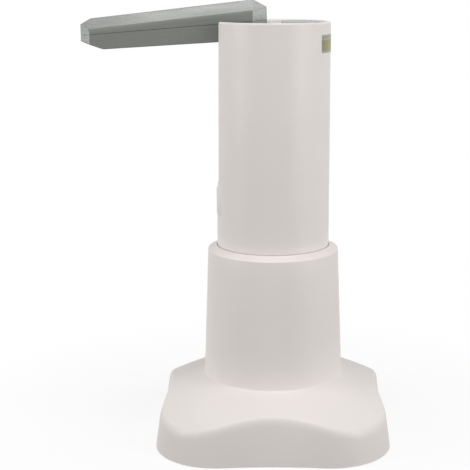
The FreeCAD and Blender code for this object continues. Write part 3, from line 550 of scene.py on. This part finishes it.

column_abs, tree, place = fresh("white_abs_slide_worn")
grain = eroded(tree, place, 0.5, 0.004)
upright = add(
    tree, "VectorMath",
    {
        "operation": "MULTIPLY",
        1: (per_metre(RUB_WIDTH), per_metre(RUB_WIDTH), per_metre(RUB_LENGTH)),
    },
    {0: place},
)
marks = add(
    tree, "TexNoise", {"Scale": 1.0, "Detail": 3.0}, {"Vector": upright.outputs["Vector"]},
)
fine = add(
    tree, "MapRange", {"From Min": 0.55, "From Max": 0.7, "To Min": 0.0, "To Max": 1.0},
    {"Value": marks.outputs["Fac"]},
)
height = add(tree, "SeparateXYZ", links={"Vector": place})
travelled = add(
    tree, "MapRange",
    {"From Min": RUB_Z[1] * MM, "From Max": RUB_Z[0] * MM, "To Min": 0.1, "To Max": 0.6},
    {"Value": height.outputs["Z"]},
)
worn = add(
    tree, "Math", {"operation": "MULTIPLY"},
    {0: fine.outputs["Result"], 1: travelled.outputs["Result"]},
)
scored = add(
    tree, "Bump", {"Strength": 1.0, "Distance": -0.004 * MM},
    {"Height": worn.outputs["Value"], "Normal": grain},
)
smoother = add(
    tree, "Math", {"operation": "MULTIPLY_ADD", 1: -0.12},
    {0: worn.outputs["Value"], 2: handled(tree, place, 0.46, 0.04, 14)},
)
# Painted shade: the colour turns grey in a thin band just above the collar's mouth, standing in for
# the shadow in the gap there.
mouth_shade_amount = add(
    tree, "MapRange",
    {"From Min": MOUTH_SHADE_Z[1] * MM, "From Max": MOUTH_SHADE_Z[0] * MM, "To Min": 0.0, "To Max": 0.34},
    {"Value": height.outputs["Z"]},
)
# Sockets 6 and 7 of a colour mix are its two colours, and output 2 is the mixed one.
mouth_shaded_colour = add(
    tree, "Mix", {"data_type": "RGBA", 7: linear("#8F8A86")},
    {"Factor": mouth_shade_amount.outputs["Result"], 6: resin(tree, place, "#E4DEDA", "#E1DBD7", 50)},
)
finished(tree, {"IOR": 1.53, "Specular IOR Level": 0.4}, {
    "Base Color": mouth_shaded_colour.outputs[2],
    "Roughness": smoother.outputs["Value"],
    "Normal": scored.outputs["Normal"],
})
dress(column_abs, "column_tube")
dress(white_abs, "press_plate")


# ---- Piston rod and hinge pin -------------------------------------------------------------------
# Stainless tube, ground without centres: a clean shine with very fine rings across the axis. Real
# ones can't be seen one by one, so they are drawn at 0.3 mm.

ground = {}
for axis in ("Z", "Y"):
    steel, tree, place = fresh("stainless_ground_" + axis.lower())
    along = add(tree, "SeparateXYZ", links={"Vector": place})
    wobble = add(tree, "TexNoise", {"Scale": per_metre(8), "Detail": 2.0}, {"Vector": place})
    phase = add(
        tree, "Math", {"operation": "MULTIPLY_ADD", 1: 2 * math.pi * per_metre(0.3)},
        {0: along.outputs[axis], 2: wobble.outputs["Fac"]},
    )
    rings = add(tree, "Math", {"operation": "SINE"}, {0: phase.outputs["Value"]})
    lathe = add(
        tree, "Bump", {"Strength": 0.5, "Distance": 0.0015 * MM},
        {"Height": rings.outputs["Value"]},
    )
    finished(tree, {"Metallic": 1.0}, {
        "Base Color": resin(tree, place, "#CCCBC8", "#C4C3C0", 10),
        "Roughness": handled(tree, place, 0.2, 0.04, 4),
        "Normal": lathe.outputs["Normal"],
    })
    ground[axis] = steel
dress(ground["Z"], "piston_rod")
dress(ground["Y"], "hinge_pin")


# ---- Bay and its fork ---------------------------------------------------------------------------
# The channel that the folded spout lies in is a light grey moulding let into the column, with the
# hinge's bearings at its head. The white fork at the foot of the slot holds the spout's tip; its
# two prongs swell a little out of the column and run out softly into its wall.

FORK_Z = (112.7, 114.2, 126.5, 128.9)
FORK_INSET = (0.5, 0.0, 0.0, 1.05)    # of the swelling, at each of these heights
FORK_GAP = 7.25                       # half of the room between the prongs
FORK_BEVEL = (0.35, 0.3)              # of the prongs' edges at the gap, inwards and sideways
FORK_INSIDE = -22.2                   # x of the fork's inner face
FORK_TONGUE = 8.6                     # half width of what reaches in through the slot
SWELL_CENTRE = -9.5                   # x of the round that the prongs' outside follows
SWELL_RADIUS = 19.85
SWELL_HALF_WIDTH = 12.1
BURIED_RADIUS = 26.6                  # where the prongs end inside the column's wall
SILL_TOP = 114.0
SILL_RADIUS = 27.9


def prong_section(side, inset):
    """Outline of one prong seen from above: its swelling, then back inside the column's wall."""
    radius = SWELL_RADIUS - inset
    inner = SWELL_CENTRE - math.sqrt(radius ** 2 - FORK_GAP ** 2)
    outline = [(inner + FORK_BEVEL[0], FORK_GAP)]
    for y, _ in between((FORK_GAP + FORK_BEVEL[1], 0), (SWELL_HALF_WIDTH, 0), 9):
        outline.append((SWELL_CENTRE - math.sqrt(radius ** 2 - y ** 2), y))
    for y in (SWELL_HALF_WIDTH, FORK_TONGUE):
        outline.append((-math.sqrt(BURIED_RADIUS ** 2 - y ** 2), y))
    outline += [(FORK_INSIDE, FORK_TONGUE), (FORK_INSIDE, FORK_GAP)]
    return [(x, side * y) for x, y in outline]


sill = [(FORK_INSIDE, -FORK_GAP), (FORK_INSIDE, FORK_GAP)]
for y, _ in between((FORK_GAP, 0), (-FORK_GAP, 0), 8):
    sill.append((-math.sqrt(SILL_RADIUS ** 2 - y ** 2), y))
pieces = [
    [(z, prong_section(side, inset)[::-side]) for z, inset in zip(FORK_Z, FORK_INSET)]
    for side in (1, -1)
]
pieces.append([(FORK_Z[0], sill), (SILL_TOP, sill)])
fork = solid("spout_fork", *together([
    joined([[(x, y, z) for x, y in outline] for z, outline in levels]) for levels in pieces
]))
fork.data.materials.append(white_abs)
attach(fork, "column")
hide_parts("spout_clip")
dress(light_grey_abs, "bay_liner")


# ---- Top disc -----------------------------------------------------------------------------------
# Light grey disc pressed in just below the rim. It is wiped more than it is handled, so its grain
# is a little polished towards the middle.

POLISH_REACH = 26.0           # distance from the axis at which the polish has faded

disc_abs, tree, place = fresh("light_grey_abs_wiped")
level = add(tree, "VectorMath", {"operation": "MULTIPLY", 1: (1.0, 1.0, 0.0)}, {0: place})
out = add(tree, "VectorMath", {"operation": "LENGTH"}, {0: level.outputs["Vector"]})
polish = add(
    tree, "MapRange",
    {"From Min": 0.0, "From Max": POLISH_REACH * MM, "To Min": -0.06, "To Max": 0.03},
    {"Value": out.outputs["Value"]},
)
wiped = add(
    tree, "Math", {"operation": "ADD"},
    {0: handled(tree, place, 0.5), 1: polish.outputs["Result"]},
)
finished(tree, {"IOR": 1.53}, {
    "Base Color": resin(tree, place, "#DADDE0", "#D5D8DB", 20),
    "Roughness": wiped.outputs["Value"],
    "Normal": eroded(tree, place, 0.5, 0.004),
})
dress(disc_abs, "top_cap")


# ---- Vent key -----------------------------------------------------------------------------------
# Rounded key in mid grey plastic with a soft-touch lacquer. It has no shine and a slightly pebbled
# skin, coarser than the grain of the disc round it.

key_grey, tree, place = fresh("key_grey_soft_touch")
pebbles = add(
    tree, "TexVoronoi", {"Scale": per_metre(0.7), "feature": "SMOOTH_F1", "Smoothness": 1.0},
    {"Vector": place},
)
skin = add(
    tree, "Bump", {"Strength": 0.6, "Distance": 0.01 * MM},
    {"Height": pebbles.outputs["Distance"], "Normal": eroded(tree, place, 0.4, 0.003)},
)
finished(tree, {"IOR": 1.5, "Sheen Weight": 0.08}, {
    "Base Color": resin(tree, place, "#B1B3B3", "#ACAEAE", 6),
    "Roughness": handled(tree, place, 0.62, 0.04, 4),
    "Normal": skin.outputs["Normal"],
})
dress(key_grey, "vent_button")


# ---- Adhesive patch -----------------------------------------------------------------------------
# Film stuck on the column near its rim, grey with an olive band across it and a thin border line,
# and otherwise bare. Its varnish is shinier than the grained column.

LABEL_Z = (192.7, 201.2)
LABEL_TURN = (-34.5, 18.0)    # degrees round the column from +X
LABEL_RADIUS = 28.14
BORDER_INSET = 0.9
BORDER_WIDTH = 0.35
BAND = (-2.9, 1.8)            # below and above the middle

film, tree, place = fresh("label_film_varnished")
split = add(tree, "SeparateXYZ", links={"Vector": place})
turn = add(tree, "Math", {"operation": "ARCTAN2"}, {0: split.outputs["Y"], 1: split.outputs["X"]})
middle_turn = math.radians(sum(LABEL_TURN) / 2)
half_length = math.radians(LABEL_TURN[1] - LABEL_TURN[0]) / 2 * LABEL_RADIUS * MM
middle_z = sum(LABEL_Z) / 2 * MM
half_height = (LABEL_Z[1] - LABEL_Z[0]) / 2 * MM
across = add(
    tree, "Math",
    {"operation": "MULTIPLY_ADD", 1: LABEL_RADIUS * MM, 2: -middle_turn * LABEL_RADIUS * MM},
    {0: turn.outputs["Value"]},
)
up = add(tree, "Math", {"operation": "SUBTRACT", 1: middle_z}, {0: split.outputs["Z"]})
edges = []
for source, half in ((across, half_length), (up, half_height)):
    size = add(tree, "Math", {"operation": "ABSOLUTE"}, {0: source.outputs["Value"]})
    edges.append(add(tree, "Math", {"operation": "SUBTRACT", 0: half}, {1: size.outputs["Value"]}))
inwards = add(
    tree, "Math", {"operation": "MINIMUM"},
    {0: edges[0].outputs["Value"], 1: edges[1].outputs["Value"]},
)
line = add(
    tree, "Math",
    {"operation": "COMPARE", 1: (BORDER_INSET + BORDER_WIDTH / 2) * MM, 2: BORDER_WIDTH / 2 * MM},
    {0: inwards.outputs["Value"]},
)
band = add(
    tree, "Math",
    {"operation": "COMPARE", 1: sum(BAND) / 2 * MM, 2: (BAND[1] - BAND[0]) / 2 * MM},
    {0: up.outputs["Value"]},
)
film_grey = resin(tree, place, "#9D9C95", "#96958E", 2.5)
olive = resin(tree, place, "#8B8756", "#837F4F", 1.6)
banded = add(
    tree, "Mix", {"data_type": "RGBA"}, {"Factor": band.outputs["Value"], 6: film_grey, 7: olive},
)
bordered = add(
    tree, "Mix", {"data_type": "RGBA", 7: linear("#797768")},
    {"Factor": line.outputs["Value"], 6: banded.outputs[2]},
)
finished(tree, {"IOR": 1.5}, {
    "Base Color": bordered.outputs[2],
    "Roughness": handled(tree, place, 0.34, 0.05, 3),
    "Normal": eroded(tree, place, 0.7, 0.002),
})
dress(film, "side_label")


# ---- Spout --------------------------------------------------------------------------------------
# Two faceted half shells in mid grey ABS, screwed together from below with a tongue behind the
# seam. Their mould was blasted and not eroded, so they are smoother and shinier than the white
# pieces.

WIPE_LENGTH = 30.0            # of the marks that a cloth leaves along the spout
WIPE_WIDTH = 3.0

grey_abs, tree, place = fresh("grey_abs_bead_blasted")
lengthwise = add(
    tree, "VectorMath",
    {
        "operation": "MULTIPLY",
        1: (per_metre(WIPE_LENGTH), per_metre(WIPE_WIDTH), per_metre(WIPE_WIDTH)),
    },
    {0: place},
)
wiped = add(
    tree, "TexNoise", {"Scale": 1.0, "Detail": 3.0}, {"Vector": lengthwise.outputs["Vector"]},
)
satin = add(
    tree, "MapRange", {"From Min": 0.3, "From Max": 0.7, "To Min": 0.24, "To Max": 0.32},
    {"Value": wiped.outputs["Fac"]},
)
finished(tree, {"IOR": 1.53, "Specular IOR Level": 0.63}, {
    "Base Color": resin(tree, place, "#757873", "#70736E", 25),
    "Roughness": satin.outputs["Result"],
    "Normal": eroded(tree, place, 0.45, 0.003),
})
dress(grey_abs, "spout_upper_shell", "spout_lower_shell")


# ---- Studio -------------------------------------------------------------------------------------
# A pale paper floor, a softbox overhead and a tall one on each side, and the camera. Away from the
# object the paper turns to plain white. What it throws back at the object is dark close by and
# light grey farther off, as from a table that the object shades.

FLOOR_REACH = 6.0             # this and the sizes below are in metres
SHADE_REACH = (0.12, 0.38)    # where the dark of the table starts to fade and where it has
WHITE_REACH = (0.075, 0.2)    # where the paper starts to turn white and where it has
AIM_HEIGHT = 0.12             # what the lamps point at

floor_mesh = bpy.data.meshes.new("floor")
floor_mesh.from_pydata(
    [(x * FLOOR_REACH, y * FLOOR_REACH, 0) for x, y in ((-1, -1), (1, -1), (1, 1), (-1, 1))],
    [], [(0, 1, 2, 3)],
)
floor = bpy.data.objects.new("floor", floor_mesh)
bpy.context.scene.collection.objects.link(floor)


def seen_rays(tree):
    """1 for what the camera sees directly, in a reflection or through something clear."""
    ray = add(tree, "LightPath")
    total = ray.outputs["Is Camera Ray"]
    for name in ("Is Glossy Ray", "Is Transmission Ray"):
        total = add(
            tree, "Math", {"operation": "ADD", "use_clamp": True},
            {0: total, 1: ray.outputs[name]},
        ).outputs["Value"]
    return total


paper, tree, place = fresh("floor_paper")
lit = add(tree, "BsdfDiffuse", {"Color": linear("#F4F4F4")})
white = add(tree, "Emission", {"Color": linear("#FFFFFF"), "Strength": 1.0})
length = add(tree, "VectorMath", {"operation": "LENGTH"}, {0: place})
table = add(tree, "ValToRGB", links={"Fac": length.outputs["Value"]})
for stop, distance, code in zip(table.color_ramp.elements, SHADE_REACH, ("#1C1C1A", "#B0B0AE")):
    stop.position = distance
    stop.color = linear(code)
grey = add(tree, "BsdfDiffuse", links={"Color": table.outputs["Color"]})
fade = add(
    tree, "MapRange",
    {"From Min": WHITE_REACH[0], "From Max": WHITE_REACH[1], "To Min": 0.85, "To Max": 1.0},
    {"Value": length.outputs["Value"]},
)
near = add(
    tree, "MixShader",
    links={"Fac": fade.outputs["Result"], 1: lit.outputs["BSDF"], 2: white.outputs["Emission"]},
)
both = add(
    tree, "MixShader",
    links={"Fac": seen_rays(tree), 1: grey.outputs["BSDF"], 2: near.outputs["Shader"]},
)
add(tree, "OutputMaterial", links={"Surface": both.outputs["Shader"]})
floor_mesh.materials.append(paper)

world = bpy.data.worlds.new("studio")
bpy.context.scene.world = world
world.use_nodes = True
tree = world.node_tree
tree.nodes.clear()
room = add(tree, "Background", {"Color": linear("#FFFFFF"), "Strength": 0.25})
white = add(tree, "Background", {"Color": linear("#FFFFFF"), "Strength": 1.0})
both = add(
    tree, "MixShader",
    links={"Fac": seen_rays(tree), 1: room.outputs["Background"], 2: white.outputs["Background"]},
)
add(tree, "OutputWorld", links={"Surface": both.outputs["Shader"]})


def softbox(name, azimuth, elevation, distance, size, radiance, slide=0.0):
    """Flat lamp turned to the object; azimuth 0 is over the camera's shoulder, 90 on its right."""
    width, height = size
    lamp = bpy.data.lights.new(name, "AREA")
    lamp.shape = "RECTANGLE"
    lamp.size = width
    lamp.size_y = height
    lamp.energy = radiance * math.pi * width * height
    spot = bpy.data.objects.new(name, lamp)
    bpy.context.scene.collection.objects.link(spot)
    a, e = math.radians(azimuth), math.radians(elevation)
    away = Vector((math.sin(a) * math.cos(e), -math.cos(a) * math.cos(e), math.sin(e)))
    spot.location = Vector((slide, 0, AIM_HEIGHT)) + away * distance
    spot.rotation_euler = away.to_track_quat("Z", "Y").to_euler()


softbox(
    "softbox_overhead", azimuth=-6, elevation=82, distance=1.2, size=(1.0, 0.26), radiance=7.5,
    slide=0.09,
)
softbox("softbox_left", azimuth=-67, elevation=12, distance=1.3, size=(0.5, 0.8), radiance=7.3)
softbox("softbox_right", azimuth=55, elevation=12, distance=1.3, size=(0.6, 0.8), radiance=6.5)

lens = bpy.data.cameras.new("camera")
lens.sensor_width = 36.0
lens.lens = 88.63
lens.shift_x = -0.081
camera = bpy.data.objects.new("camera", lens)
bpy.context.scene.collection.objects.link(camera)
camera.location = (0, -0.5698, 0.2281)
camera.rotation_euler = (math.radians(77.415), 0, 0)
bpy.context.scene.camera = camera
bpy.context.scene.view_settings.view_transform = "Standard"
